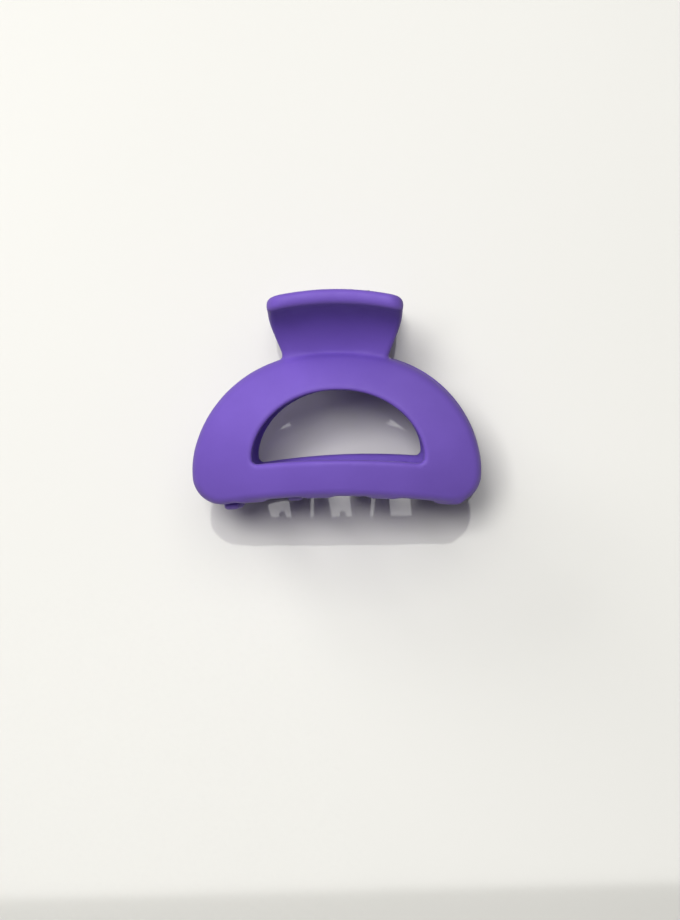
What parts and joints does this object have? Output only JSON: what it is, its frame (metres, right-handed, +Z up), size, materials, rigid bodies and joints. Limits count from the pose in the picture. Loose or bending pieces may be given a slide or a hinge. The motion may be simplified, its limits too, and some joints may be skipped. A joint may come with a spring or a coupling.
{
  "type": "hair claw clip",
  "caption": "Half-moon hair claw clip with two open D-shaped jaws, interlocking teeth, flared handles and a sprung hinge, lying on its rear jaw.",
  "frame": {"origin": "centre of the bounding box's bottom, on the surface the clip lies on", "axes": "+X along the hinge pin, to the right as seen from the teeth; +Y from the teeth to the handles; +Z up, out of the front jaw"},
  "size_m": [0.061, 0.0522, 0.0508],
  "materials": {
    "soft_touch_purple": "matte soft-touch coating",
    "pin_steel": "nickel plated, satin",
    "spring_steel": "drawn wire, bright"
  },
  "bodies": {
    "rear_body": {"rear_jaw": "soft_touch_purple", "hinge_pin": "pin_steel", "torsion_spring": "spring_steel"},
    "front_body": {"front_jaw": "soft_touch_purple"}
  },
  "joints": [
    {"name": "jaw_hinge", "type": "hinge", "parent": "rear_body", "child": "front_body", "pos_m": [0, 0.00451, 0.02221], "axis": [-1, 0, 0], "range_deg": [0, 72], "stiffness_Nm_per_rad": 0.1, "springref_deg": -40.11, "deforming": ["torsion_spring"]}
  ]
}
